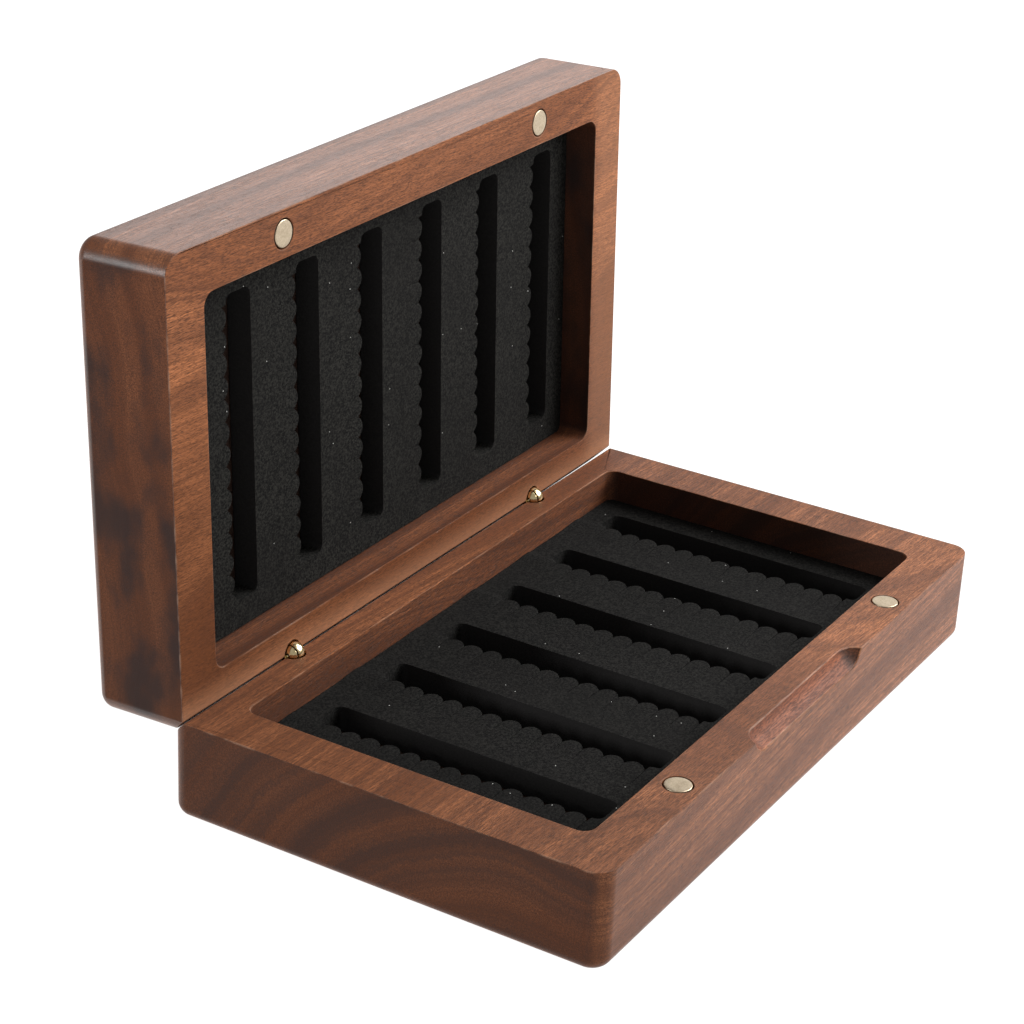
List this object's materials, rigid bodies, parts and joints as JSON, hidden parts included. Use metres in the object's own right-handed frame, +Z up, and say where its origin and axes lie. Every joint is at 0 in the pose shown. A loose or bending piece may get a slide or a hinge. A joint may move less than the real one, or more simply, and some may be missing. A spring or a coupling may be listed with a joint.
{
  "type": "hinged pocket case",
  "caption": "Hinged wooden pocket case with magnetic closure and slotted, slit foam inserts in both halves for small hooked or clipped items.",
  "frame": {"origin": "centre of the base's underside, on the surface it stands on", "axes": "+Z up out of the base's rim, +X along the length to the right, the front with the finger notch towards -Y, the hinges at the rear; stored open"},
  "size_m": [0.18, 0.1278, 0.1243],
  "materials": {
    "walnut": "satin",
    "foam": "matte",
    "nickel": "satin",
    "brass": "polished"
  },
  "bodies": {
    "base": {"base_shell": "walnut", "base_foam": "foam", "base_magnet_left": "nickel", "base_magnet_right": "nickel", "left_hinge_base_barrel": "brass", "right_hinge_base_barrel": "brass", "left_hinge_pin": "brass", "right_hinge_pin": "brass"},
    "lid": {"lid_shell": "walnut", "lid_foam": "foam", "lid_magnet_left": "nickel", "lid_magnet_right": "nickel", "left_hinge_lid_barrel": "brass", "right_hinge_lid_barrel": "brass"}
  },
  "joints": [
    {"name": "lid_hinge", "type": "hinge", "parent": "base", "child": "lid", "pos_m": [0, 0.0487, 0.02315], "axis": [1, 0, 0], "range_deg": [0, 92]}
  ]
}
